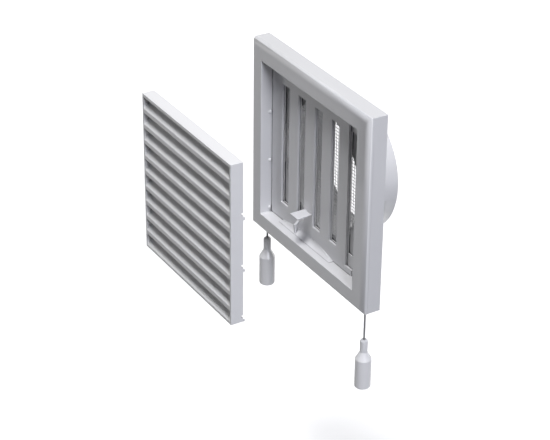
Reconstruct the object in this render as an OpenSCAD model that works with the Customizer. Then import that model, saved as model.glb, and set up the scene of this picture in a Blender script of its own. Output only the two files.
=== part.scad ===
// Square wall vent with a round duct spigot, a sliding shutter worked by two pull cords
// and a clip-in louvre panel, shown with the panel drawn forward off the frame.
// X runs to the right seen from the room, +Y goes into the wall, +Z is up.
// The origin is on the duct's axis, in the plane of the wall.

/* [Frame] */
// Width and height of the square frame
frame_w = 154; // [150:1:180]
// Depth of the frame, from the wall to its front face
frame_d = 15.1; // [14:0.1:20]
// Width of the flat band around the opening
band_w = 14; // [13:0.5:18]
// Radius along the four front edges
edge_r = 4.6; // [2:0.1:6]
// Thickness of the frame's outer wall
outer_t = 1.5; // [1.2:0.1:2]
// Thickness of the frame's front wall
face_t = 1.8; // [1.4:0.1:2.4]
// Thickness of the wall around the well
well_t = 1.6; // [1.2:0.1:2]

/* [Fixed grid and shutter] */
// Thickness of the fixed grid at the bottom of the well
grid_t = 1.4; // [1:0.1:2]
// Number of slots in the fixed grid
slot_count = 5; // [5:1:6]
// Width of a slot in the fixed grid
grid_slot_w = 10; // [9:0.1:10]
// Height of the slots
slot_h = 97; // [80:1:100]
// Width of a slat of the shutter
slat_w = 12.2; // [12:0.1:12.6]
// Margin between the well and the row of slats of the open shutter
end_gap = 1.9; // [1.5:0.1:2.5]
// Thickness of the shutter
shutter_t = 1.8; // [1.4:0.1:2.2]
// Running clearance between the shutter and the fixed grid
shutter_gap = 0.3; // [0.2:0.05:0.6]
// Clearance between the shutter and the well above and below it
guide_gap = 0.3; // [0.2:0.05:0.6]
// Height of the shutter's top and bottom rails
rail_h = 4.5; // [3:0.5:6]
// Length by which the rails run on past the last slat
rail_toe = 8; // [4:0.5:10]
// Length of the finger tab
tab_l = 12.4; // [8:0.1:16]
// Width of the finger tab
tab_w = 9.6; // [7:0.1:12]
// Thickness of the finger tab
tab_t = 1.1; // [0.9:0.1:1.2]
// Length of the arched foot that slides on the bottom of the well
foot_l = 70; // [50:1:80]
// Depth of the arched foot in front of the shutter
foot_d = 4; // [2:0.1:5]

/* [Louvre panel] */
// Clearance between the well and the panel's sides
panel_side_gap = 1.2; // [1.2:0.1:2]
// Clearance between the well and the panel's top and bottom
panel_end_gap = 1.4; // [1.2:0.1:3]
// Depth of the louvre panel
panel_d = 9.6; // [9:0.1:12]
// Thickness of the panel's side walls
side_t = 1.8; // [1.2:0.1:2.4]
// Thickness of the panel's top wall
top_t = 1.6; // [1.2:0.1:2.4]
// Number of louvres
louvre_count = 10; // [8:1:10]
// Height of a louvre's flat front edge
louvre_face_h = 3.3; // [2:0.1:3.6]
// Height of the lip along the top of the panel
top_lip_h = 2.5; // [1.8:0.1:3]
// Depth of a louvre from front to back
louvre_d = 7; // [5:0.1:7.2]
// Thickness of a louvre's sloping blade
blade_t = 1.4; // [1:0.1:1.8]
// Clearance between the seated panel and the shutter
panel_gap = 1.7; // [1.6:0.05:2]
// Distance by which the panel is drawn forward from its seat
panel_out = 95.3; // [20:0.1:120]

/* [Duct spigot] */
// Outside diameter of the spigot
spigot_od = 100; // [96:0.5:104]
// Wall of the spigot
spigot_t = 2; // [1.4:0.1:3]
// Length of the spigot behind the wall plane
spigot_l = 30.4; // [15:0.1:60]
// Thickness of the spigot's flange
flange_t = 1.6; // [1.2:0.1:2.4]
// Clearance between the flange and the well
flange_gap = 0.1; // [0.05:0.05:0.3]

/* [Insect screen] */
// Thickness of the screen
screen_t = 0.4; // [0.3:0.05:0.8]
// Distance from wire to wire
screen_pitch = 7; // [5:0.5:9]
// Width of a wire
wire_w = 0.8; // [0.5:0.1:1.2]
// Width of the screen's plain rim
screen_rim = 3; // [2:0.5:4]

/* [Cords and pulls] */
// Distance of each cord in from the side of the frame
cord_in = 9.5; // [9:0.1:10.5]
// Distance of each cord in front of the wall plane
cord_y = 6; // [5.6:0.1:8]
// Diameter of the cord
cord_dia = 1.4; // [1:0.1:1.5]
// Clearance around the cord in its guides
cord_play = 0.4; // [0.3:0.05:0.6]
// Diameter of a pull's neck
neck_dia = 5.8; // [5:0.1:8]
// Length of a pull's neck
neck_l = 10.6; // [8:0.1:16]
// Length of a pull's cone
cone_l = 5.8; // [3:0.1:10]
// Diameter of a pull's body
pull_dia = 12.1; // [11:0.1:18]
// Length of a pull's body
pull_body_l = 24; // [14:0.1:30]
// Wall of a pull's body
pull_t = 1.4; // [1:0.1:2]
// Radius along a pull's bottom edge
pull_edge_r = 1.2; // [0.4:0.1:1.2]
// Diameter of the knot
knot_dia = 4.4; // [3.4:0.1:5]

/* [Hidden] */
$fn = 64;

white = "whitesmoke";
cut = 1;
open_w = frame_w - 2 * band_w;
well_w = open_w + 2 * well_t;
channel_w = band_w - outer_t - well_t;

// Layers of the well, counted forward from the wall plane
screen_y = -flange_t;
grid_y = screen_y - screen_t;
shutter_y = grid_y - grid_t - shutter_gap;
seat_y = shutter_y - shutter_t - panel_gap;

// Shutter, drawn open at the left end of its travel; its first slat runs on almost to the well
slot_pitch = (open_w - slat_w - 2 * end_gap) / slot_count;
slot_w = slot_pitch - slat_w;
shutter_w = slot_count * slat_w + (slot_count - 1) * slot_w;
shutter_h = open_w - 2 * guide_gap;
shutter_x = -slot_pitch / 2;
shutter_left = shutter_x - shutter_w / 2;
shutter_right = shutter_x + shutter_w / 2;
shutter_front = shutter_y - shutter_t;
foot_front = shutter_front - foot_d;
tab_x = shutter_x + (slot_count % 2 == 0 ? slot_pitch / 2 : 0);
end_flap = end_gap - 0.5;
catch_x = -24.5;
catch_w = 1.8;
catch_t = 1.1;
catch_d = 3.8;
catch_top = 10.1;

// Louvre panel
panel_w = open_w - 2 * panel_side_gap;
panel_h = open_w - 2 * panel_end_gap;
panel_back = seat_y - panel_out;
panel_front = panel_back - panel_d;
blade_rise = louvre_d;
blade_h = blade_t * sqrt(2);
snap_step = 40;
snap_foot = 3.5;
snap_z = [for (i = [0 : 2]) i * snap_step + snap_foot - open_w / 2];
snap_r = 1.9;
snap_proud = 1;
snap_y = shutter_front - 1.5;
nub_h = 2;
nub_l = panel_gap - 0.3;
nub_root = 2;
nub_w = 0.75;
nub_drop = 1.6;
notch_h = 2;
notch_d = 1.5;
notch_rise = 2.1;

// The tab lies in the clear band between two louvres
louvre_top = panel_h / 2 - 0.85;
louvre_low = 0.35 - panel_h / 2;
louvre_pitch = (louvre_top - louvre_low) / louvre_count;
tab_louvre = louvre_count - 2;
tab_gap = 0.3;
tab_top = louvre_z(tab_louvre) - louvre_face_h / 2 - tab_gap;

// Cords: the routes are chosen by hand and run down from where each cord leaves the frame,
// and each pull hangs by its shoulder on the knot at the cord's end
cord_r = cord_dia / 2;
guide_r = cord_r + cord_play;
cord_sides = 8;
draw_y = -(abs(shutter_y) + shutter_t / 2);
draw_z = 4 - open_w / 2;
cord_x = frame_w / 2 - cord_in;
guide_top = draw_z + 4;
guide_front = frame_d - face_t;
guide_depth = guide_front - abs(grid_y);
pull_foot = -frame_w / 2;
pull_l = neck_l + cone_l + pull_body_l;
shoulder = neck_l + cone_l + 0.4;
neck_chamfer = 1.3;
knot_top = 0.8;
knot_gap = 0.3;
bore_play = 0.15;
left_route = [[0, 0, 5], [0, 0, 0], [0, 0, -4], [0, 0, -8], [0, 0, -12], [0, 0, -16], [0, 0, -20],
              [0, 0, -24], [0, 0, -28.4]];
right_route = [[0, 0, 15], [0, 0, 11], [0, 0, 7], [0, 0, 4], [0, 0, 0], [0, 0, -4], [0, 0, -8],
               [0, 0, -12], [0, 0, -16], [0, 0, -20], [0, 0, -24], [0, 0, -28], [0, 0, -32],
               [0, 0, -36], [0, 0, -40], [0, 0, -44.6]];
left_drop = drop(left_route);
right_drop = drop(right_route);
guide_end = open_w / 2 + well_t + channel_w - 0.4;
left_draw_end = 1 - guide_end;
right_draw_end = open_w / 2 + well_t + 0.2;

// Height of the middle of a louvre's front edge, counted from the panel's middle
function louvre_z(k) = louvre_top - louvre_pitch * k;

// Length of the cord that shows above a pull which hangs on the end of a route
function drop(route) = -route[len(route) - 1][2] - shoulder - knot_gap;

function level_route(start, end) =
    [for (i = [0 : 4]) [start + i * (end - start) / 4, draw_y, draw_z]];

function unit(v) = v / norm(v);

// Direction of a route at one of its points
function heading(route, i) =
    unit(route[min(i + 1, len(route) - 1)] - route[max(i - 1, 0)]);

// A direction square to d, used to start each ring of a cord
function beside(d) = unit(cross(d, abs(d[2]) > 0.5 ? [0, 1, 0] : [0, 0, 1]));

function ring(p, d, r) =
    [for (i = [0 : cord_sides - 1])
        let (a = 360 * i / cord_sides)
        p + r * (cos(a) * beside(d) + sin(a) * cross(d, beside(d)))];

// A round cord swept along a route, one ring of points at each point of the route
module cord(route, r) {
    n = cord_sides;
    last = len(route) - 1;
    points = [for (i = [0 : last]) each ring(route[i], heading(route, i), r)];
    sides = [for (i = [0 : last - 1]) for (j = [0 : n - 1])
        [i * n + j, (i + 1) * n + j, (i + 1) * n + (j + 1) % n, i * n + (j + 1) % n]];
    start = [for (j = [0 : n - 1]) j];
    end = [for (j = [n - 1 : -1 : 0]) last * n + j];
    polyhedron(points, concat([start], sides, [end]));
}

// Section of the rim: the front corners are rounded, the back runs on by over
module rim_section(w, d, r, over) {
    translate([-w / 2, -d + r]) square([w, d - r + over]);
    translate([-w / 2 + r, -d]) square([w - 2 * r, d]);
    for (s = [-1, 1]) translate([s * (w / 2 - r), -d + r]) circle(r);
}

// The same section run both ways and crossed, so that the rounded edges meet in a mitre
module rim_block(w, d, r, over) {
    intersection() {
        translate([0, 0, -w / 2]) linear_extrude(w) rim_section(w, d, r, over);
        rotate([0, 90, 0]) translate([0, 0, -w / 2]) linear_extrude(w) rim_section(w, d, r, over);
    }
}

// A block in a square of width w, from y = front back to y = back
module square_block(w, front, back) {
    translate([-w / 2, front, -w / 2]) cube([w, back - front, w]);
}

// Slots side by side, as a flat pattern in X and Z
module slot_pattern(count, width) {
    for (i = [0 : count - 1])
        translate([(i - (count - 1) / 2) * slot_pitch - width / 2, -slot_h / 2])
            square([width, slot_h]);
}

// A flat pattern in X and Z, thickened from y = back towards the room
module plate(back, t) {
    translate([0, back, 0]) rotate([90, 0, 0]) linear_extrude(t) children();
}

// The two guides for the cords fill the lower corners of the hollow rim
module cord_guide() {
    translate([well_w / 2 - 0.2, -guide_front - 0.2, -frame_w / 2 + outer_t - 0.2])
        cube([channel_w + 0.4, guide_depth + 0.2, guide_top + frame_w / 2 - outer_t + 0.2]);
}

module cord_guide_bores() {
    translate([open_w / 2 - cut, draw_y, draw_z]) rotate([0, 90, 0])
        cylinder(h = guide_end - open_w / 2 + cut, r = guide_r);
    translate([cord_x, -cord_y, -frame_w / 2 - cut])
        cylinder(h = cut + frame_w / 2 + draw_z + guide_r, r = guide_r);
}

module both_sides() {
    children();
    mirror([1, 0, 0]) children();
}

module snap_bumps() {
    for (z = snap_z)
        translate([open_w / 2 + snap_r - snap_proud, snap_y, z]) sphere(snap_r);
}

module frame() {
    color(white) difference() {
        union() {
            difference() {
                rim_block(frame_w, frame_d, edge_r, 0);
                difference() {
                    rim_block(frame_w - 2 * outer_t, frame_d - face_t, edge_r - outer_t, cut);
                    square_block(well_w, -frame_d - cut, 2 * cut);
                }
                square_block(open_w, -frame_d - cut, cut);
            }
            plate(grid_y, grid_t) difference() {
                square(open_w + well_t, center = true);
                slot_pattern(slot_count, grid_slot_w);
            }
            both_sides() cord_guide();
            both_sides() intersection() {
                snap_bumps();
                translate([open_w / 2 - snap_r, -frame_d, -frame_w / 2])
                    cube([snap_r + well_t / 2, frame_d, frame_w]);
            }
        }
        both_sides() cord_guide_bores();
    }
}

// The flange lies in the back of the well and traps the screen against the grid
module duct_spigot() {
    flange_w = open_w - 2 * flange_gap;
    lip = 0.6;
    color(white) difference() {
        union() {
            square_block(flange_w, -flange_t, 0);
            rotate([-90, 0, 0]) rotate_extrude() polygon([
                [0, -flange_t], [spigot_od / 2, -flange_t], [spigot_od / 2, spigot_l - lip],
                [spigot_od / 2 - lip, spigot_l], [0, spigot_l]]);
        }
        translate([0, -flange_t - cut, 0]) rotate([-90, 0, 0])
            cylinder(h = flange_t + spigot_l + 2 * cut, r = spigot_od / 2 - spigot_t);
    }
}

module insect_screen() {
    screen_r = spigot_od / 2 + screen_rim;
    rows = floor(screen_r / screen_pitch);
    color("silver") plate(screen_y, screen_t) {
        intersection() {
            circle(screen_r - screen_rim / 2);
            for (i = [-rows : rows]) union() {
                translate([i * screen_pitch, 0]) square([wire_w, 2 * screen_r], center = true);
                translate([0, i * screen_pitch]) square([2 * screen_r, wire_w], center = true);
            }
        }
        difference() {
            circle(screen_r);
            circle(screen_r - screen_rim);
        }
    }
}

// Cove along the front of the bottom rail, arched so that it is deepest at its middle
module arched_foot() {
    bottom = -shutter_h / 2;
    arch_r = (foot_l * foot_l / 4 + rail_h * rail_h) / (2 * rail_h);
    cove = [for (a = [0 : 15 : 90])
        [shutter_front - foot_d * (1 - sin(a)), bottom + rail_h * (1 - cos(a))]];
    intersection() {
        translate([shutter_x - foot_l / 2, 0, 0]) rotate([90, 0, 90]) linear_extrude(foot_l)
            polygon(concat([[shutter_front + 0.2, bottom + rail_h], [shutter_front + 0.2, bottom]], cove));
        translate([shutter_x, foot_front - cut, bottom + rail_h - arch_r]) rotate([-90, 0, 0])
            cylinder(h = foot_d + shutter_t + cut, r = arch_r, $fn = 180);
    }
}

// Small catch on the shutter, a strip bent to a nose: it slopes out from the plate and back in
// to the arched foot
module click_catch() {
    bottom = -shutter_h / 2;
    top_z = bottom + catch_top;
    inner_d = catch_d - 1.1 * catch_t;
    translate([catch_x - catch_w / 2, 0, 0]) rotate([90, 0, 90]) linear_extrude(catch_w)
        polygon([[shutter_front + 0.2, top_z], [shutter_front, top_z],
                 [shutter_front - catch_d, top_z - 0.75 * catch_d],
                 [shutter_front - catch_d, top_z - 0.75 * catch_d - 0.5],
                 [shutter_front - 1.5 - catch_t, bottom + 0.1], [shutter_front - 1.5, bottom + 0.1],
                 [shutter_front - inner_d, top_z - 0.75 * inner_d - 1.25 * catch_t],
                 [shutter_front + 0.2, top_z - 1.25 * catch_t]]);
}

module shutter() {
    color(white) union() {
        plate(shutter_y, shutter_t) {
            difference() {
                translate([shutter_left - end_flap, -shutter_h / 2])
                    square([shutter_w + end_flap, shutter_h]);
                translate([shutter_x, 0]) slot_pattern(slot_count - 1, slot_w);
            }
            for (s = [-1, 1])
                translate([shutter_left, s * (shutter_h - rail_h) / 2 - rail_h / 2])
                    square([shutter_w + rail_toe, rail_h]);
        }
        arched_foot();
        click_catch();
        translate([tab_x - tab_w / 2, shutter_front - tab_l, tab_top - tab_t])
            cube([tab_w, tab_l + 0.2, tab_t]);
    }
}

// The level ends of the two cords, tied to the ends of the bottom rail
module shutter_cords() {
    color("white") {
        cord(level_route(shutter_left - end_flap, left_draw_end), cord_r);
        cord(level_route(shutter_right + rail_toe, right_draw_end), cord_r);
    }
}

// Profile of one louvre, front to the left: flat front edge, then a blade that climbs backwards
module louvre_section() {
    polygon([[0, -louvre_face_h / 2], [0, louvre_face_h / 2],
             [louvre_d, louvre_face_h / 2 + blade_rise],
             [louvre_d, louvre_face_h / 2 + blade_rise - blade_h],
             [blade_t, louvre_face_h / 2 + blade_t - blade_h], [blade_t, -louvre_face_h / 2]]);
}

module panel_side() {
    translate([panel_w / 2 - side_t, panel_front, -panel_h / 2]) difference() {
        cube([side_t, panel_d, panel_h]);
        for (z = snap_z)
            translate([-cut, panel_d - notch_d, panel_h / 2 + z + notch_rise - notch_h / 2])
                cube([side_t + 2 * cut, notch_d + cut, notch_h]);
    }
    for (z = snap_z)
        translate([panel_w / 2 - nub_w, panel_back - nub_root, z - nub_drop - nub_h / 2])
            cube([nub_w, nub_root + nub_l, nub_h]);
}

module louvre_panel() {
    inner_w = panel_w - 2 * side_t + 0.4;
    color(white) intersection() {
        union() {
            both_sides() panel_side();
            translate([-inner_w / 2, panel_front, panel_h / 2 - top_t])
                cube([inner_w, panel_d, top_t]);
            translate([-inner_w / 2, panel_front, panel_h / 2 - top_lip_h])
                cube([inner_w, blade_t, top_lip_h]);
            for (k = [1 : louvre_count])
                translate([-inner_w / 2, panel_front, louvre_z(k)])
                    rotate([90, 0, 90]) linear_extrude(inner_w) louvre_section();
        }
        translate([-frame_w / 2, panel_front, -panel_h / 2])
            cube([frame_w, panel_d + nub_l, panel_h]);
    }
}

// A bell-shaped pull hung from z = 0: the cord's bore ends at a shoulder over a hollow body
module pull() {
    body_r = pull_dia / 2;
    color(white) rotate_extrude() difference() {
        polygon([[0, 0], [neck_dia / 2 - neck_chamfer, 0], [neck_dia / 2, -neck_chamfer],
                 [neck_dia / 2, -neck_l], [body_r, -neck_l - cone_l], [body_r, -pull_l], [0, -pull_l]]);
        translate([body_r - pull_edge_r, -pull_l + pull_edge_r]) difference() {
            translate([0, -pull_edge_r - cut]) square(pull_edge_r + cut);
            circle(pull_edge_r);
        }
        translate([0, -pull_l - cut]) square([body_r - pull_t, pull_l + cut - shoulder]);
        translate([0, -shoulder - cut]) square([cord_r + bore_play, shoulder + 2 * cut]);
    }
}

// The knot bears up under the shoulder, flat where the cord enters it
module knot() {
    flat = sqrt(knot_dia * knot_dia / 4 - knot_top * knot_top);
    translate([0, 0, -flat]) rotate_extrude() intersection() {
        circle(knot_dia / 2);
        translate([0, -flat]) square([knot_dia, 2 * flat]);
    }
}

module left_pull() {
    translate([-cord_x, -cord_y, pull_foot - left_drop]) pull();
}

module right_pull() {
    translate([cord_x, -cord_y, pull_foot - right_drop]) pull();
}

module left_knot() {
    color("white") translate([-cord_x, -cord_y, pull_foot - left_drop - shoulder - knot_gap]) knot();
}

module right_knot() {
    color("white") translate([cord_x, -cord_y, pull_foot - right_drop - shoulder - knot_gap]) knot();
}

module left_cord() {
    color("white") translate([-cord_x, -cord_y, pull_foot]) cord(left_route, cord_r);
}

module right_cord() {
    color("white") translate([cord_x, -cord_y, pull_foot]) cord(right_route, cord_r);
}

frame();
duct_spigot();
insect_screen();
shutter();
shutter_cords();
louvre_panel();
left_pull();
left_cord();
left_knot();
right_pull();
right_cord();
right_knot();
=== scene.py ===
# Louvered vent grille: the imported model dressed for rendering.
# A white moulded wall vent with its louvre panel drawn forward, seen from the front right and above.
import math

import bmesh
import bpy
from mathutils import Matrix, Vector


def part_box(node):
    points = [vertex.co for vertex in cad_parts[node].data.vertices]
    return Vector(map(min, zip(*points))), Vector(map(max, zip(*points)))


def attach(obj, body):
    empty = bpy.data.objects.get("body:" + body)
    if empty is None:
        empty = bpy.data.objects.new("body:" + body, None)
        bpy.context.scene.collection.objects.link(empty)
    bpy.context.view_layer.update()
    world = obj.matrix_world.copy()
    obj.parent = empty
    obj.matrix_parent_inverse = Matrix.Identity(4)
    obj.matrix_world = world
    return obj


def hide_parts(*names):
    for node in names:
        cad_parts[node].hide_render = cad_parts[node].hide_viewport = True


MM = 0.001

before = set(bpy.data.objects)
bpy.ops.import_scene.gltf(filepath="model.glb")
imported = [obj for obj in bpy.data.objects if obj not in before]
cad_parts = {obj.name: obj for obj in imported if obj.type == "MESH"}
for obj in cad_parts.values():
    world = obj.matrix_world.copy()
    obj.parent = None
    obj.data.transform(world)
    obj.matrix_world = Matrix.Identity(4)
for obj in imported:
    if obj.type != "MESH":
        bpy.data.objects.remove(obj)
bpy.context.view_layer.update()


# Camera: solved from the corners of the frame and the panel
CAMERA_PLACE = Vector((984.82, -640.16, 628.75)) * MM
CAMERA_RIGHT = Vector((0.51555, 0.85681, 0.00934))
CAMERA_DOWN = Vector((0.42932, -0.24886, -0.86819))
CAMERA_AHEAD = Vector((-0.74155, 0.45160, -0.49614))
CAMERA_LENS = 121.98
CAMERA_SENSOR = 36
CAMERA_NEAR = 0.05
CAMERA_FAR = 20


def make_camera():
    data = bpy.data.cameras.new("camera")
    data.lens = CAMERA_LENS
    data.sensor_width = CAMERA_SENSOR
    data.clip_start = CAMERA_NEAR
    data.clip_end = CAMERA_FAR
    camera = bpy.data.objects.new("camera", data)
    bpy.context.scene.collection.objects.link(camera)
    axes = Matrix((CAMERA_RIGHT, -CAMERA_DOWN, -CAMERA_AHEAD)).transposed()
    camera.matrix_world = Matrix.Translation(CAMERA_PLACE) @ axes.to_4x4()
    bpy.context.scene.camera = camera


# Cords: each leaves the frame's lower edge and runs straight down into its pull.
# The steps are those of the part's source, in millimetres above the place where the cord leaves the frame.
CORD_R = 0.7 * MM
CORD_X = 67.5 * MM
CORD_Y = -6 * MM
CORD_EXIT_Z = -77 * MM
LEFT_ROUTE = [5, 0, -4, -8, -12, -16, -20, -24, -28.4]
RIGHT_ROUTE = [15, 11, 7, 4, 0, -4, -8, -12, -16, -20, -24, -28, -32, -36, -40, -44.6]
STRANDS = 6
STRAND_SIDES = 4
STRAND_LAY = 5 * MM
STRAND_GROOVE = 0.1
RING_STEP = 0.35 * MM


def laid_cord(name, start, end):
    """A laid cord from start to end: a round tube pressed into strands that wind round it."""
    sides = STRANDS * STRAND_SIDES
    along = end - start
    rings = math.ceil(along.length / RING_STEP)
    across = along.orthogonal().normalized()
    beside = along.normalized().cross(across)
    verts, faces = [], []
    for i in range(rings + 1):
        turn = 2 * math.pi * i / rings * along.length / STRAND_LAY
        for j in range(sides):
            a = 2 * math.pi * j / sides
            swell = abs(math.cos(STRANDS / 2 * (a - turn)))
            r = CORD_R * (1 - STRAND_GROOVE + STRAND_GROOVE * swell)
            verts.append(start + along * (i / rings) + r * (math.cos(a) * across + math.sin(a) * beside))
    for i in range(rings):
        for j in range(sides):
            k = (j + 1) % sides
            faces.append((i * sides + j, i * sides + k, (i + 1) * sides + k, (i + 1) * sides + j))
    faces.append(tuple(reversed(range(sides))))
    faces.append(tuple(rings * sides + j for j in range(sides)))
    mesh = bpy.data.meshes.new(name)
    mesh.from_pydata(verts, [], faces)
    mesh.shade_smooth()
    cord = bpy.data.objects.new(name, mesh)
    bpy.context.scene.collection.objects.link(cord)
    return cord


def hanging_cord(side, x, route):
    """The end of a cord that hangs from the frame's lower corner down to the knot in its pull."""
    points = [Vector((x, CORD_Y, CORD_EXIT_Z + step * MM)) for step in route]
    cord = laid_cord(f"{side}_laid_cord", points[0], points[-1])
    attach(cord, f"{side}_pull")
    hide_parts(f"{side}_cord")
    return cord


def level_cords():
    """The ends that are tied to the shutter's bottom rail and run into the frame's lower corners."""
    lo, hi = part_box("shutter_cords")
    rail_lo, rail_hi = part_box("shutter")
    y, z = (lo[1] + hi[1]) / 2, (lo[2] + hi[2]) / 2
    ends = {
        "left_level_cord": (Vector((rail_lo[0], y, z)), Vector((lo[0], y, z))),
        "right_level_cord": (Vector((rail_hi[0], y, z)), Vector((hi[0], y, z))),
    }
    cords = [laid_cord(name, *span) for name, span in ends.items()]
    for cord in cords:
        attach(cord, "shutter")
        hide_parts("shutter_cords")
    return cords


# Colours are written as sRGB hex values
def hex_colour(code):
    channels = [int(code[i : i + 2], 16) / 255 for i in (1, 3, 5)]
    linear = [c / 12.92 if c <= 0.04045 else ((c + 0.055) / 1.055) ** 2.4 for c in channels]
    return (*linear, 1)


WHITE = hex_colour("#FFFFFF")
COLOUR_MIX = {"data_type": "RGBA"}


def add_node(tree, kind, settings, sockets):
    """Adds a node: settings are its properties, sockets its inputs by name or number.

    An input is given as a value, or as another node's output to link.
    """
    node = tree.nodes.new(kind)
    for key, value in settings.items():
        setattr(node, key, value)
    for key, value in sockets.items():
        if isinstance(value, bpy.types.NodeSocket):
            tree.links.new(value, node.inputs[key])
        else:
            node.inputs[key].default_value = value
    return node


def empty_tree(owner):
    """The node tree of a material or a world, without the nodes that it starts with."""
    owner.use_nodes = True
    owner.node_tree.nodes.clear()
    return owner.node_tree


# Plastic: painted shade in the recesses, darker where less of the sky is free. It starts below the open
# fraction and is full at the shut fraction.
# The sink marks of the cooling plastic lie about 56 mm apart.
PAINTED_SHADE_TONE = "#48484C"
PAINTED_SHADE_SHUT = 0.2
PAINTED_SHADE_OPEN = 0.58
PAINTED_SHADE_SAMPLES = 8
SINK_MARK_MM = 56


def moulded_abs(name, light, dark, roughness, grain_mm, shade_reach_mm):
    """Injection-moulded white ABS: satin, with a fine grain and a faint unevenness where it cooled.

    The grain of the spark-eroded mould is drawn coarser than the real one, so that it shows.
    The colour is darkened towards a dark grey where other walls stand within the given reach in millimetres:
    painted shade in the recesses.
    """
    material = bpy.data.materials.new(name)
    tree = empty_tree(material)
    place = add_node(tree, "ShaderNodeTexCoord", {}, {}).outputs["Object"]
    cloud = add_node(
        tree, "ShaderNodeTexNoise", {}, {"Vector": place, "Scale": 1000 / SINK_MARK_MM, "Detail": 3.0}
    ).outputs["Fac"]
    grain = add_node(
        tree, "ShaderNodeTexNoise", {}, {"Vector": place, "Scale": 1000 / grain_mm, "Detail": 2.0}
    ).outputs["Fac"]
    plain = add_node(
        tree, "ShaderNodeMix", COLOUR_MIX, {0: cloud, 6: hex_colour(light), 7: hex_colour(dark)}
    ).outputs[2]
    # Painted shade: ambient occlusion mixes a dark grey into the plastic's colour where walls close in.
    openness = add_node(
        tree, "ShaderNodeAmbientOcclusion", {"samples": PAINTED_SHADE_SAMPLES}, {"Distance": shade_reach_mm * MM}
    ).outputs["AO"]
    painted_shade = add_node(
        tree, "ShaderNodeMapRange", {}, {0: openness, 1: PAINTED_SHADE_SHUT, 2: PAINTED_SHADE_OPEN, 3: 1.0, 4: 0.0}
    ).outputs[0]
    tint = add_node(
        tree, "ShaderNodeMix", COLOUR_MIX, {0: painted_shade, 6: plain, 7: hex_colour(PAINTED_SHADE_TONE)}
    ).outputs[2]
    gloss = add_node(
        tree, "ShaderNodeMapRange", {}, {0: grain, 1: 0.3, 2: 0.7, 3: roughness - 0.04, 4: roughness + 0.05}
    ).outputs[0]
    sink = add_node(
        tree, "ShaderNodeBump", {}, {"Height": cloud, "Strength": 0.1, "Distance": 0.5 * MM}
    ).outputs["Normal"]
    texture = add_node(
        tree, "ShaderNodeBump", {}, {"Height": grain, "Normal": sink, "Strength": 0.15, "Distance": 0.03 * MM}
    ).outputs["Normal"]
    shader = add_node(
        tree,
        "ShaderNodeBsdfPrincipled",
        {},
        {"Base Color": tint, "Roughness": gloss, "Normal": texture, "IOR": 1.53},
    ).outputs["BSDF"]
    add_node(tree, "ShaderNodeOutputMaterial", {}, {"Surface": shader})
    return material


FIBRE_MM = 0.18
FIBRE_DRAWN_OUT = (1, 1, 0.12)


def laid_polyester():
    """Polyester cord: fibres that run down the hanging ends, mid grey to pale, with a soft fuzz.

    The fibres are drawn coarser than the real ones, so that they show.
    """
    material = bpy.data.materials.new("laid_polyester_cord")
    tree = empty_tree(material)
    place = add_node(tree, "ShaderNodeTexCoord", {}, {}).outputs["Object"]
    long_way = add_node(
        tree, "ShaderNodeMapping", {}, {"Vector": place, "Scale": FIBRE_DRAWN_OUT}
    ).outputs["Vector"]
    fibre = add_node(
        tree, "ShaderNodeTexNoise", {}, {"Vector": long_way, "Scale": 1000 / FIBRE_MM, "Detail": 3.0}
    ).outputs["Fac"]
    tint = add_node(
        tree, "ShaderNodeMix", COLOUR_MIX, {0: fibre, 6: hex_colour("#7C7C7E"), 7: hex_colour("#B4B4B4")}
    ).outputs[2]
    fuzz = add_node(
        tree, "ShaderNodeBump", {}, {"Height": fibre, "Strength": 0.6, "Distance": 0.06 * MM}
    ).outputs["Normal"]
    shader = add_node(
        tree,
        "ShaderNodeBsdfPrincipled",
        {},
        {"Base Color": tint, "Roughness": 0.85, "Normal": fuzz, "IOR": 1.5},
    ).outputs["BSDF"]
    add_node(tree, "ShaderNodeOutputMaterial", {}, {"Surface": shader})
    return material


THREAD_UNEVEN_MM = 0.6


def coated_net():
    """Fibreglass net with a pale grey plastic coat: matt, with slightly uneven threads."""
    material = bpy.data.materials.new("coated_fibreglass_net")
    tree = empty_tree(material)
    place = add_node(tree, "ShaderNodeTexCoord", {}, {}).outputs["Object"]
    thread = add_node(
        tree, "ShaderNodeTexNoise", {}, {"Vector": place, "Scale": 1000 / THREAD_UNEVEN_MM, "Detail": 2.0}
    ).outputs["Fac"]
    tint = add_node(
        tree, "ShaderNodeMix", COLOUR_MIX, {0: thread, 6: hex_colour("#D2D2D4"), 7: hex_colour("#E0E0E2")}
    ).outputs[2]
    bump = add_node(
        tree, "ShaderNodeBump", {}, {"Height": thread, "Strength": 0.4, "Distance": 0.05 * MM}
    ).outputs["Normal"]
    shader = add_node(
        tree,
        "ShaderNodeBsdfPrincipled",
        {},
        {"Base Color": tint, "Roughness": 0.7, "Normal": bump, "IOR": 1.5},
    ).outputs["BSDF"]
    add_node(tree, "ShaderNodeOutputMaterial", {}, {"Surface": shader})
    return material


def give(obj, material):
    obj.data.materials.clear()
    obj.data.materials.append(material)


# Modelling: points closer than the weld distance are one point
WELD = 0.002 * MM


def pick(obj):
    """Makes obj the only selected object and the active one."""
    bpy.ops.object.select_all(action="DESELECT")
    obj.select_set(True)
    bpy.context.view_layer.objects.active = obj


def edit(obj):
    pick(obj)
    bpy.ops.object.mode_set(mode="EDIT")


def apply_modifier(obj, kind, settings):
    modifier = obj.modifiers.new(kind.lower(), kind)
    for key, value in settings.items():
        setattr(modifier, key, value)
    bpy.context.view_layer.objects.active = obj
    bpy.ops.object.modifier_apply(modifier=modifier.name)


def finish_shading(obj, degrees):
    """Shades obj smooth except at edges sharper than degrees, and keeps its large faces flat."""
    pick(obj)
    bpy.ops.object.shade_smooth_by_angle(angle=math.radians(degrees))
    apply_modifier(obj, "WEIGHTED_NORMAL", {"keep_sharp": True, "weight": 80})


# Mouldings: an edge that turns more than SHARP degrees gets a small radius, if it is long enough.
# Faces within FLAT degrees of each other are first made one.
FLAT = 1
SHARP = 30
MOULDED_SMOOTH = 40
RADIUS_STEPS = 3


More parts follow.
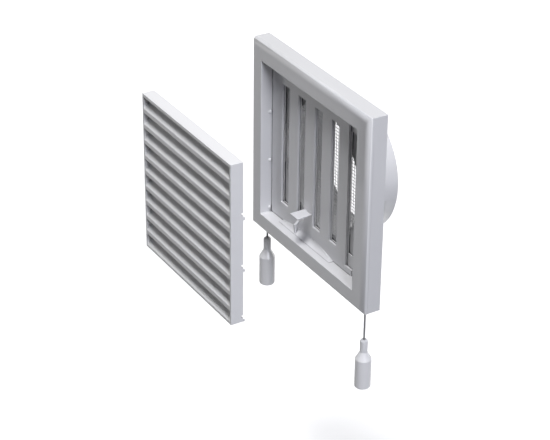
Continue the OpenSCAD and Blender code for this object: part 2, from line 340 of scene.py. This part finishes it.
def moulded_copy(node, name, radius, shortest):
    """A merged copy of a CAD node whose long sharp edges get the small radius of a moulding."""
    obj = bpy.data.objects.new(name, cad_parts[node].data.copy())
    bpy.context.scene.collection.objects.link(obj)
    edit(obj)
    bpy.ops.mesh.select_all(action="SELECT")
    bpy.ops.mesh.remove_doubles(threshold=WELD)
    bpy.ops.mesh.dissolve_limited(angle_limit=math.radians(FLAT))
    bpy.ops.mesh.select_mode(type="EDGE")
    bpy.ops.mesh.select_all(action="DESELECT")
    shape = bmesh.from_edit_mesh(obj.data)
    for e in shape.edges:
        sharp = len(e.link_faces) == 2 and e.calc_face_angle() > math.radians(SHARP)
        e.select = sharp and e.calc_length() > shortest
    bmesh.update_edit_mesh(obj.data)
    bpy.ops.mesh.bevel(offset=radius, segments=RADIUS_STEPS, profile=0.5, affect="EDGES", clamp_overlap=False)
    bpy.ops.object.mode_set(mode="OBJECT")
    finish_shading(obj, MOULDED_SMOOTH)
    return obj


def replace_node(obj, node, body, material):
    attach(obj, body)
    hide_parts(node)
    give(obj, material)


# Insect net: a fine square net across the duct, behind the fixed grid
NET_PITCH = 2.6 * MM
NET_THREAD = 0.9 * MM
NET_CELLS = 40
NET_FLATTENED = 0.35


def insect_net():
    """A round net, cut from a square grid, with its threads flattened along the duct."""
    lo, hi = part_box("insect_screen")
    y = (lo[1] + hi[1]) / 2
    reach = NET_CELLS * NET_PITCH / 2
    bpy.ops.object.select_all(action="DESELECT")
    bpy.ops.mesh.primitive_grid_add(x_subdivisions=NET_CELLS, y_subdivisions=NET_CELLS, size=2 * reach)
    net = bpy.context.object
    net.name = "insect_net"
    edit(net)
    bpy.ops.mesh.select_all(action="SELECT")
    bpy.ops.transform.rotate(value=math.pi / 2, orient_axis="X", center_override=(0, 0, 0))
    bpy.ops.transform.translate(value=(0, y, 0))
    bpy.ops.mesh.select_mode(type="VERT")
    bpy.ops.mesh.select_all(action="DESELECT")
    shape = bmesh.from_edit_mesh(net.data)
    for v in shape.verts:
        v.select = math.hypot(v.co.x, v.co.z) > reach
    shape.select_flush(True)
    bmesh.update_edit_mesh(net.data)
    bpy.ops.mesh.delete(type="VERT")
    bpy.ops.object.mode_set(mode="OBJECT")
    apply_modifier(net, "WIREFRAME", {"thickness": NET_THREAD, "use_even_offset": False, "use_replace": True})
    edit(net)
    bpy.ops.mesh.select_all(action="SELECT")
    bpy.ops.transform.resize(value=(1, NET_FLATTENED, 1), center_override=(0, y, 0))
    bpy.ops.object.mode_set(mode="OBJECT")
    return net


# Pulls: turned bells with a bore down the neck and a hollow body, in millimetres.
# BORE, NECK, BODY and HOLLOW are radii, LONG, CEILING, CONE_TOP and CONE_FOOT are depths below the top,
# and the others are the radii of the rounded corners.
BORE = 0.85
NECK = 2.9
BODY = 6.05
HOLLOW = 4.65
LONG = 40.4
CEILING = 16.8
CONE_TOP = 10.47
CONE_FOOT = 16.53
CONE_SLANT = 28.5
MOUTH_LIP = 0.25
SHOULDER = 1.8
CONE_EASE = 0.5
FOOT = 1.2
RIM = 0.2
CORNER = 0.8
TURNED_SMOOTH = 35
TURNED_STEPS = 72


def arc(centre, radius, start, end, steps):
    """Points of a round stretch of a profile, from start to end in degrees."""
    angles = [math.radians(start + (end - start) * i / steps) for i in range(steps + 1)]
    return [(centre[0] + radius * math.cos(a), centre[1] + radius * math.sin(a)) for a in angles]


def pull_profile():
    """Radius and height in millimetres, from the top of the bore round the outside and back up the inside."""
    return [
        (BORE, -MOUTH_LIP),
        *arc((BORE + MOUTH_LIP, -MOUTH_LIP), MOUTH_LIP, 180, 90, 3),
        *arc((NECK - SHOULDER, -SHOULDER), SHOULDER, 90, 0, 8),
        *arc((NECK + CONE_EASE, -CONE_TOP), CONE_EASE, 180, 180 + CONE_SLANT, 3),
        *arc((BODY - CONE_EASE, -CONE_FOOT), CONE_EASE, CONE_SLANT, 0, 3),
        *arc((BODY - FOOT, -LONG + FOOT), FOOT, 0, -90, 6),
        *arc((HOLLOW + RIM, -LONG + RIM), RIM, -90, -180, 3),
        *arc((HOLLOW - CORNER, -CEILING - CORNER), CORNER, 0, 90, 4),
        (BORE, -CEILING),
    ]


def turned_pull(side):
    """A pull spun from its profile, at the place of the CAD node that it replaces."""
    lo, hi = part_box(f"{side}_pull")
    x, y, top = (lo[0] + hi[0]) / 2, (lo[1] + hi[1]) / 2, hi[2]
    points = [Vector((x + r * MM, y, top + z * MM)) for r, z in pull_profile()]
    bpy.ops.object.select_all(action="DESELECT")
    bpy.ops.mesh.primitive_plane_add(size=1 * MM, location=(0, 0, 0))
    pull = bpy.context.object
    pull.name = f"{side}_turned_pull"
    edit(pull)
    bpy.ops.mesh.select_all(action="SELECT")
    bpy.ops.mesh.merge(type="CENTER")
    bpy.ops.transform.translate(value=points[0])
    for a, b in zip(points, points[1:] + points[:1]):
        bpy.ops.mesh.extrude_region_move(TRANSFORM_OT_translate={"value": b - a})
    bpy.ops.mesh.select_all(action="SELECT")
    bpy.ops.mesh.remove_doubles(threshold=WELD)
    bpy.ops.mesh.spin(steps=TURNED_STEPS, angle=2 * math.pi, center=(x, y, 0), axis=(0, 0, 1))
    bpy.ops.mesh.select_all(action="SELECT")
    bpy.ops.mesh.remove_doubles(threshold=WELD)
    bpy.ops.mesh.normals_make_consistent(inside=False)
    bpy.ops.object.mode_set(mode="OBJECT")
    finish_shading(pull, TURNED_SMOOTH)
    return pull


# Floor and surroundings: white to the camera and in reflections, dim to the light that falls on the object.
# The floor's own glow is weak under the object, to keep its shadow, and grows to full white further out.
FLOOR_Z = -0.30
FLOOR_SIZE = 8
PAPER_SEEN = "#FAFAFA"
PAPER_LIT = "#5A5A5A"
GLOW_NEAR = 0.5
GLOW_FAR = 1.5
GLOW_WEAK = 0.45
WORLD_LIGHT = 0.02


def seen_by_eye(tree):
    """1 for a camera, glossy or transmission ray, and 0 for the light that bounces."""
    path = add_node(tree, "ShaderNodeLightPath", {}, {}).outputs
    larger = {"operation": "MAXIMUM"}
    seen = add_node(
        tree, "ShaderNodeMath", larger, {0: path["Is Camera Ray"], 1: path["Is Glossy Ray"]}
    ).outputs[0]
    return add_node(tree, "ShaderNodeMath", larger, {0: seen, 1: path["Is Transmission Ray"]}).outputs[0]


def paper_sweep():
    """White background paper: matt, without a pattern that would show."""
    material = bpy.data.materials.new("white_paper_sweep")
    tree = empty_tree(material)
    seen = seen_by_eye(tree)
    tone = add_node(
        tree, "ShaderNodeMix", COLOUR_MIX, {0: seen, 6: hex_colour(PAPER_LIT), 7: hex_colour(PAPER_SEEN)}
    ).outputs[2]
    paper = add_node(tree, "ShaderNodeBsdfDiffuse", {}, {"Color": tone}).outputs["BSDF"]
    place = add_node(tree, "ShaderNodeTexCoord", {}, {}).outputs["Object"]
    away = add_node(tree, "ShaderNodeVectorMath", {"operation": "LENGTH"}, {0: place}).outputs["Value"]
    bright = add_node(
        tree, "ShaderNodeMapRange", {}, {0: away, 1: GLOW_NEAR, 2: GLOW_FAR, 3: GLOW_WEAK, 4: 1.0}
    ).outputs[0]
    lift = add_node(tree, "ShaderNodeMath", {"operation": "MULTIPLY"}, {0: seen, 1: bright}).outputs[0]
    glow = add_node(tree, "ShaderNodeEmission", {}, {"Color": WHITE, "Strength": lift}).outputs[0]
    both = add_node(tree, "ShaderNodeAddShader", {}, {0: paper, 1: glow}).outputs[0]
    add_node(tree, "ShaderNodeOutputMaterial", {}, {"Surface": both})
    return material


def make_floor():
    bpy.ops.object.select_all(action="DESELECT")
    bpy.ops.mesh.primitive_plane_add(size=FLOOR_SIZE, location=(0, 0, FLOOR_Z))
    floor = bpy.context.object
    floor.name = "floor"
    give(floor, paper_sweep())


def make_world():
    world = bpy.data.worlds.new("studio")
    bpy.context.scene.world = world
    tree = empty_tree(world)
    strength = add_node(
        tree, "ShaderNodeMapRange", {}, {0: seen_by_eye(tree), 3: WORLD_LIGHT, 4: 1.0}
    ).outputs[0]
    back = add_node(tree, "ShaderNodeBackground", {}, {"Color": WHITE, "Strength": strength}).outputs[0]
    add_node(tree, "ShaderNodeOutputWorld", {}, {"Surface": back})


# Lamps: name, the direction it stands in, size, share and tint
LAMP_DISTANCE = 2.0
LAMPS = [
    ("overhead", (0.1, -0.22, 0.97), 0.6, 0.71, "#FFFFFF"),
    ("right_key", (0.86, -0.13, 0.48), 0.6, 0.62, "#F3F5FF"),
    ("back_fill", (-0.2, 0.98, 0.02), 1.2, 0.42, "#FFFFFF"),
    ("left_fill", (-0.97, 0.24, 0.05), 1.2, 0.22, "#FFFFFF"),
]


def soft_box(name, towards, size, share, tint):
    """An area lamp that stands towards a direction and turns to the object.

    Its light on a facing white surface there is that share of full white.
    """
    lamp = bpy.data.lights.new(name, "AREA")
    lamp.shape = "SQUARE"
    lamp.size = size
    lamp.energy = share * math.pi**2 * LAMP_DISTANCE**2
    lamp.color = hex_colour(tint)[:3]
    obj = bpy.data.objects.new(name, lamp)
    bpy.context.scene.collection.objects.link(obj)
    towards = Vector(towards).normalized()
    obj.location = towards * LAMP_DISTANCE
    obj.rotation_mode = "QUATERNION"
    obj.rotation_quaternion = towards.to_track_quat("Z", "Y")


make_camera()
cords = [
    hanging_cord("left", -CORD_X, LEFT_ROUTE),
    hanging_cord("right", CORD_X, RIGHT_ROUTE),
    *level_cords(),
]

# The last number is how far each part's painted shade in its recesses reaches, in millimetres.
frame_white = moulded_abs("moulded_abs_frame", "#DFDFE1", "#DADADC", 0.15, 0.45, 3)
shutter_white = moulded_abs("moulded_abs_shutter", "#DFDFE2", "#D9D9DC", 0.16, 0.45, 3)
# The louvre panel's white is lighter than the frame's, so that its sloped louvres come out brighter: painted
# light.
panel_white = moulded_abs("moulded_abs_louvres", "#EFEFF0", "#EAEAEB", 0.17, 0.45, 8)
pull_white = moulded_abs("polished_abs_pull", "#F4F4F5", "#EFEFF1", 0.13, 0.6, 3)
cord_grey = laid_polyester()
net_grey = coated_net()

# Mouldings: CAD node, new name, body, slot, material, edge radius and the shortest edge that is rounded
MOULDINGS = [
    ("frame", "moulded_frame", "frame", "frame_plastic", frame_white, 0.4 * MM, 3 * MM),
    ("duct_spigot", "moulded_spigot", "frame", "frame_plastic", frame_white, 0.3 * MM, 3 * MM),
    ("shutter", "moulded_shutter", "shutter", "shutter_plastic", shutter_white, 0.25 * MM, 1.5 * MM),
    ("louvre_panel", "moulded_louvre_panel", "louvre_panel", "panel_plastic", panel_white, 0.25 * MM, 3 * MM),
]

for node, name, body, slot, material, radius, shortest in MOULDINGS:
    replace_node(moulded_copy(node, name, radius, shortest), node, body, material)
replace_node(insect_net(), "insect_screen", "frame", net_grey)
for side in ("left", "right"):
    replace_node(turned_pull(side), f"{side}_pull", f"{side}_pull", pull_white)
    give(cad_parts[f"{side}_knot"], cord_grey)
for cord in cords:
    give(cord, cord_grey)

make_floor()
make_world()
for lamp in LAMPS:
    soft_box(*lamp)

bpy.context.scene.view_settings.view_transform = "Standard"
